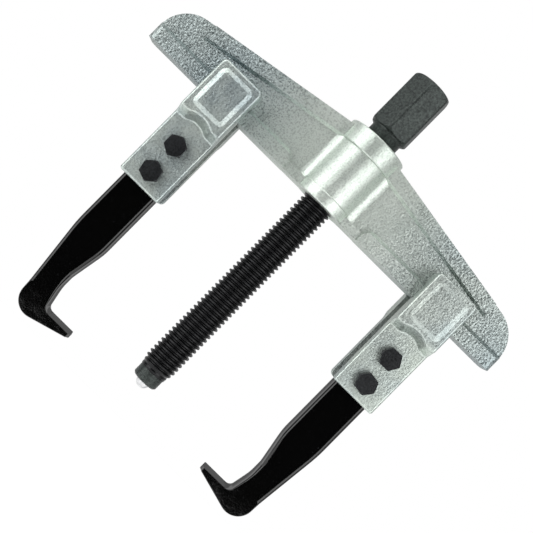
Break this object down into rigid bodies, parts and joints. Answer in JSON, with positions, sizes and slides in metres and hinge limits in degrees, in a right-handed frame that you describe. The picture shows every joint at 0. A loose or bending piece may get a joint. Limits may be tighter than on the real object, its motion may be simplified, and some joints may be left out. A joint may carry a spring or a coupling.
{
  "type": "gear puller",
  "caption": "Sliding-jaw gear puller: a crossbeam with a threaded hub, a hex-headed forcing screw with a ball tip, and hooked claws bolted between sliding cheeks.",
  "frame": {"origin": "on the forcing screw's axis, in the plane of the crossbeam's flat underside", "axes": "+Z along the screw towards its hexagon head, +X along the crossbeam, -Y towards the front, where the bolt heads are"},
  "size_m": [0.185, 0.0359, 0.1761],
  "materials": {
    "zinc_plated_steel": "bright zinc over a shot-blasted forging",
    "black_enamelled_steel": "gloss black enamel",
    "blackened_screw_steel": "black phosphate, lightly oiled",
    "black_oxide_steel": "black oxide",
    "polished_steel": "polished bearing ball"
  },
  "bodies": {
    "crossbeam": {"crossbeam": "zinc_plated_steel"},
    "left_arm": {"left_front_cheek": "zinc_plated_steel", "left_rear_cheek": "zinc_plated_steel", "left_claw": "black_enamelled_steel", "left_upper_bolt": "black_oxide_steel", "left_upper_washer": "black_oxide_steel", "left_upper_nut": "black_oxide_steel", "left_lower_bolt": "black_oxide_steel", "left_lower_washer": "black_oxide_steel", "left_lower_nut": "black_oxide_steel"},
    "right_arm": {"right_front_cheek": "zinc_plated_steel", "right_rear_cheek": "zinc_plated_steel", "right_claw": "black_enamelled_steel", "right_upper_bolt": "black_oxide_steel", "right_upper_washer": "black_oxide_steel", "right_upper_nut": "black_oxide_steel", "right_lower_bolt": "black_oxide_steel", "right_lower_washer": "black_oxide_steel", "right_lower_nut": "black_oxide_steel"},
    "thrust_ball": {"thrust_ball": "polished_steel"},
    "forcing_screw": {"forcing_screw": "blackened_screw_steel"}
  },
  "joints": [
    {"name": "left_arm_slide", "type": "slide", "parent": "crossbeam", "child": "left_arm", "axis": [1, 0, 0], "range_m": [-0.0283, 0.0205]},
    {"name": "right_arm_slide", "type": "slide", "parent": "crossbeam", "child": "right_arm", "axis": [1, 0, 0], "range_m": [-0.027, 0.0215]},
    {"name": "screw_feed", "type": "slide", "parent": "crossbeam", "child": "thrust_ball", "axis": [0, 0, 1], "range_m": [0, 0.09]},
    {"name": "screw_turn", "type": "hinge", "parent": "thrust_ball", "child": "forcing_screw", "pos_m": [0, 0, 0], "axis": [0, 0, 1], "range_deg": [0, 16200]}
  ],
  "couplings": [
    {"joint": "screw_turn", "follows": "screw_feed", "rad_per_m": 3141.6}
  ]
}
